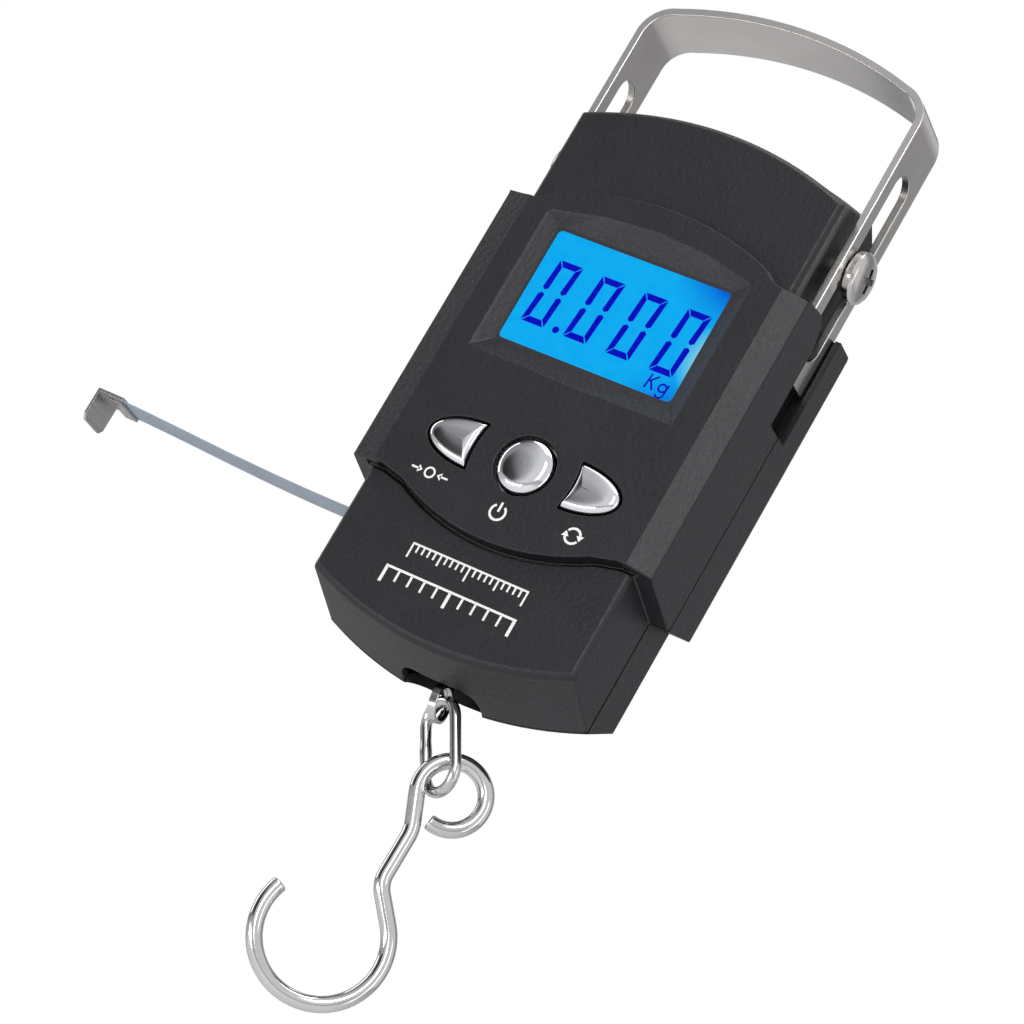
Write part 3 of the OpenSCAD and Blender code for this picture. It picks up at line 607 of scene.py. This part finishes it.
# Unit: two arrows that turn round each other
c = (17.1, -29.9)
for s in (0, 180):
    marks.append(ring_band(c[0], c[1], 1.6, 0.5, 20 + s, 150 + s, 18))
    tip = (c[0] + 1.6 * math.cos(math.radians(s + 2)), c[1] + 1.6 * math.sin(math.radians(s + 2)))
    ux, uz = math.sin(math.radians(s + 8)), -math.cos(math.radians(s + 8))
    marks.append([(tip[0] + ux * 0.75, tip[1] + uz * 0.75),
                  (tip[0] + uz * 0.8 - ux * 0.45, tip[1] - ux * 0.8 - uz * 0.45),
                  (tip[0] - uz * 0.8 - ux * 0.45, tip[1] + ux * 0.8 - uz * 0.45)])
make("marks_buttons", slab("marks_buttons", marks, -0.018, 0.02), print_white, "case", ())

# Two graduated rows on the lower face, in place of lettering
rows = []
for i in range(21):
    x = -13.6 + i * 1.36
    tall = 3.0 if i % 10 == 0 else 2.3 if i % 5 == 0 else 1.5
    rows.append(bar(x, -43.2, x, -43.2 - tall, 0.42))
rows.append(bar(-13.8, -43.0, 13.8, -43.0, 0.42))
for i in range(11):
    x = -16.2 + i * 3.04
    tall = 3.4 if i % 5 == 0 else 2.4
    rows.append(bar(x, -49.4, x, -49.4 - tall, 0.7 if i % 5 == 0 else 0.5))
rows.append(bar(-16.55, -49.2, 14.55, -49.2, 0.5))
make("marks_scale", slab("marks_scale", rows, 2.382, 2.42), print_white, "case", ())

# ---------------------------------------------------------------- hook, link and eye


def bend(q, h, r, a):
    """Where an arc of radius r and angle a ends that leaves q at heading h; a negative r turns right."""
    h, a = math.radians(h), math.radians(a)
    return (q[0] + abs(r) * math.sin(a) * math.cos(h) - r * (1 - math.cos(a)) * math.sin(h),
            q[1] + abs(r) * math.sin(a) * math.sin(h) + r * (1 - math.cos(a)) * math.cos(h))


def wire(runs, p, h):
    """A line of (straight length, bend radius, bend angle) runs from p, heading h degrees."""
    out = [p]
    for length, r, turn in runs:
        d = (math.cos(math.radians(h)), math.sin(math.radians(h)))
        for k in range(1, 5):
            if length:
                out.append((p[0] + d[0] * length * k / 4, p[1] + d[1] * length * k / 4))
        q = (p[0] + d[0] * length, p[1] + d[1] * length)
        n = math.ceil(turn / 3.0)
        out += [bend(q, h, r, turn * k / n) for k in range(1, n + 1)]
        p, h = bend(q, h, r, turn), h + math.copysign(turn, r)
    return out


# The hook lies in an upright plane; u runs level in it and v up, from the centre of its upper ring
HOOK_RING, HOOK_TURN = (12.78, 19.0, -82.2), math.radians(28)
BOWL_U, BOWL_V, BOWL_R, TIP_A = -8.22, -36.29, 12.94, 159.4
HOOK_WIRE = 0.00166
tip = (BOWL_U + BOWL_R * math.cos(math.radians(TIP_A)), BOWL_V + BOWL_R * math.sin(math.radians(TIP_A)))
path = wire([(0, BOWL_R, 240.6), (6, -6, 41), (8, 8, 23), (6.2, -6.75, 300)], tip, TIP_A + 90)
hook_pts = [at(HOOK_RING[0] + u * math.cos(HOOK_TURN), HOOK_RING[1] + u * math.sin(HOOK_TURN),
               HOOK_RING[2] + v) for u, v in path]
hook_normal = Vector((-math.sin(HOOK_TURN), math.cos(HOOK_TURN), 0))
make("hook_wire", tube_mesh("hook_wire", hook_pts, HOOK_WIRE, 32, hook_normal), hook_metal, "hook", ["hook"])

# The link is a stadium of wire that hangs from the eye's hole
LINK_R, LINK_L, LINK_WIRE = 4.45, 9.9, 0.00115
loop = []
for s in (0, 1):
    for k in range(37):
        a = math.radians(180 * k / 36)
        p = Vector((LINK_R * math.cos(a), LINK_R * math.sin(a)))
        loop.append(p if s == 0 else Vector((-p.x, -p.y - LINK_L)))
    for k in range(1, 8):
        p = Vector((-LINK_R, -LINK_L * k / 8))
        loop.append(p if s == 0 else Vector((-p.x, -p.y - LINK_L)))
LINK_TILT, LINK_TURN = 31.3, -31
to_case = Matrix.Rotation(math.radians(-LINK_TILT), 4, "Y") @ Matrix.Rotation(math.radians(LINK_TURN), 4, "Z")
to_case = to_case @ Matrix.Translation((0, 0, -LINK_R)) @ Matrix.Rotation(math.radians(90), 4, "X")
EYE_REACH, EYE_TILT, EYE_Z = 9.35, math.radians(9.27), -57.5
hang = (EYE_REACH * math.sin(EYE_TILT), EYE_Z - EYE_REACH * math.cos(EYE_TILT))
link_pts = []
for p in loop:
    q = to_case @ Vector((p.x, p.y, 0))
    link_pts.append(at(hang[0] + q.x, MID_Y + q.y, hang[1] + q.z))
link_normal = (to_case.to_3x3() @ Vector((0, 0, 1))).normalized()
weld = 40  # where the link's ends are welded together, half way down one side


def link_radius(i):
    d = abs(i - weld)
    return LINK_WIRE * (1 + 0.10 * math.exp(-(d / 1.1) ** 2) - 0.05 * math.exp(-((d - 2.2) / 0.6) ** 2))


make("link_wire", tube_mesh("link_wire", link_pts, link_radius, 24, link_normal, closed=True), link_metal,
     "link", ["chain_link"])
make("eye_plate", refined("load_eye", 0.00030, 3), link_metal, "eye", ["load_eye"])

# ---------------------------------------------------------------- tape

tape_y, tape_z, tab_z = 24.8, -36.8, -35.2
tab_x, slit_x, root_x = -102.1, -31.1, -29.1
HALF_W = 4.5


def blade_mesh():
    """A cambered strip from inside the case to the tab, with a slight sag."""
    n, m = 60, 8
    top, bottom = [], []
    for i in range(n + 1):
        x = root_x + (tab_x - root_x) * i / n if i < n else tab_x
        t = (x - root_x) / (tab_x - root_x)
        z = tape_z + (tab_z - tape_z) * t * t * (3 - 2 * t) - 0.9 * math.sin(math.pi * t)
        camber = 0.42 * math.sin(math.pi * min(1, max(0, t))) ** 0.5
        for j in range(m + 1):
            v = 2 * j / m - 1
            zz = z + camber * (v * v - 0.4)
            top.append(at(x, tape_y + HALF_W * v, zz + 0.18))
            bottom.append(at(x, tape_y + HALF_W * v, zz + 0.02))
    for j in range(m + 1):
        v = 2 * j / m - 1
        top.append(at(tab_x - 3.0, tape_y + HALF_W * v, tab_z + 0.18))
        bottom.append(at(tab_x - 3.0, tape_y + HALF_W * v, tab_z + 0.02))
    verts = top + bottom
    o, w = len(top), m + 1
    faces = []
    for i in range(n + 1):
        for j in range(m):
            a, b, c, d = i * w + j, i * w + j + 1, (i + 1) * w + j + 1, (i + 1) * w + j
            faces += [(a, b, c, d), (o + a, o + d, o + c, o + b)]
        for j in (0, m):
            a, d = i * w + j, (i + 1) * w + j
            faces.append((a, d, o + d, o + a))
    for i in (0, n + 1):
        for j in range(m):
            a, b = i * w + j, i * w + j + 1
            faces.append((a, b, o + b, o + a))
    return solid("tape_blade", verts, faces, 40)


blade = make("tape_strip", blade_mesh(), tape_paint, "case", ["tape_blade"])
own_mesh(blade)
make("tape_hook", refined("tape_tab", 0.00018, 2), tab_metal, "tape", ["tape_tab"])

# ---------------------------------------------------------------- the rest of the CAD nodes

for n, m in {"case_screws": zinc, "backlight": milky, "circuit_board": board, "chip_cover": epoxy,
             "board_screws": zinc, "button_pad": rubber, "handle_bushes": zinc, "load_bracket": zinc,
             "load_cell": alu, "cell_screws": zinc, "strain_gauges": amber, "load_clevis": link_metal,
             "eye_pin": link_metal, "battery_left": jacket, "battery_right": jacket,
             "battery_springs": zinc, "battery_plates": zinc, "reel_plate": zinc, "reel_screws": zinc,
             "tape_axle": zinc, "tape_spool": acetal, "tape_coil": tape_paint,
             "return_spring": zinc}.items():
    paint(n, m)

# ---------------------------------------------------------------- stage and light


def floor():
    """A plain pale floor below the hanging scale."""
    half, z = 3, -0.62
    verts = [(-half, -half, z), (half, -half, z), (half, half, z), (-half, half, z)]
    faces = [(0, 1, 2, 3)]
    m = Mat("pale_floor", (0.86, 0.86, 0.86), 0.9)
    m.set("Base Color", m.mix(m.noise(8, 3), (0.84, 0.84, 0.84), (0.88, 0.88, 0.88)))
    o = bpy.data.objects.new("pale_floor", mesh_from("pale_floor", verts, faces))
    bpy.context.scene.collection.objects.link(o)
    o.data.materials.append(m.m)


floor()


def softbox(name, direction, dist, size, energy):
    """A soft area light that looks at the scale from that direction."""
    d = bpy.data.lights.new(name, "AREA")
    d.shape, d.size, d.size_y, d.energy = "RECTANGLE", size[0], size[1], energy
    o = bpy.data.objects.new(name, d)
    aim = Vector((0, 0, -0.09))
    o.location = aim + Vector(direction).normalized() * dist
    o.rotation_euler = (aim - o.location).to_track_quat("-Z", "Y").to_euler()
    bpy.context.scene.collection.objects.link(o)


softbox("key_front", (0.24, -0.94, 0.26), 1.1, (0.26, 0.8), 4.2)
softbox("low_front", (-0.44, -0.78, -0.45), 1.1, (0.7, 0.28), 3.3)
softbox("left_soft", (-0.96, -0.05, 0.24), 1.0, (0.40, 0.9), 2.2)
softbox("right_soft", (0.90, -0.30, -0.10), 1.0, (0.25, 0.9), 0.8)
softbox("top_soft", (-0.1, -0.1, 0.99), 0.95, (0.9, 0.6), 4.0)

# A grey room, darker in places for the metals to reflect. Its one white patch is the background
# straight behind the scale from the photograph's viewing angle
world = bpy.data.worlds.new("studio")
bpy.context.scene.world = world
world.use_nodes = True
wt = world.node_tree
wc = wt.nodes.new("ShaderNodeTexCoord").outputs["Generated"]


def towards(direction, *stops):
    """A grey by direction. Each stop is (cosine of the angle from the direction, brightness)."""
    dot = wt.nodes.new("ShaderNodeVectorMath")
    dot.operation = "DOT_PRODUCT"
    wt.links.new(wc, dot.inputs[0])
    dot.inputs[1].default_value = Vector(direction).normalized()
    ramp = wt.nodes.new("ShaderNodeValToRGB")
    wt.links.new(dot.outputs["Value"], ramp.inputs["Fac"])
    e = ramp.color_ramp.elements
    while len(e) < len(stops):
        e.new(0.5)
    for s, (pos, v) in zip(e, stops):
        s.position, s.color = pos, (v, v, v * 1.01, 1)
    return ramp.outputs[0]


def combine(kind, a, b):
    """Two colours blended at full strength."""
    n = wt.nodes.new("ShaderNodeMix")
    n.data_type, n.blend_type = "RGBA", kind
    n.inputs["Factor"].default_value = 1.0
    wt.links.new(a, n.inputs[6])
    wt.links.new(b, n.inputs[7])
    return n.outputs[2]


front = towards((-0.64, -0.76, 0.04), (0.0, 1.0), (0.925, 0.92), (0.955, 0.60), (0.978, 0.14), (1.0, 0.08))
left = towards((-0.92, -0.30, 0.24), (0.0, 1.0), (0.6, 1.0), (0.85, 0.45), (1.0, 0.40))
behind = towards((-0.46, 0.855, 0.24), (0.0, 0.80), (0.35, 0.32), (0.62, 0.30), (0.82, 0.66), (0.90, 0.60),
                 (0.925, 0.16), (0.952, 0.14))
patch = towards((-0.46, 0.855, 0.24), (0.0, 0.0), (0.952, 0.0), (0.978, 1.0), (1.0, 1.0))
room = combine("MULTIPLY", combine("MULTIPLY", front, left), behind)
bg = wt.nodes["Background"]
wt.links.new(combine("LIGHTEN", room, patch), bg.inputs["Color"])
bg.inputs["Strength"].default_value = 1.0

bpy.context.scene.view_settings.view_transform = "Standard"
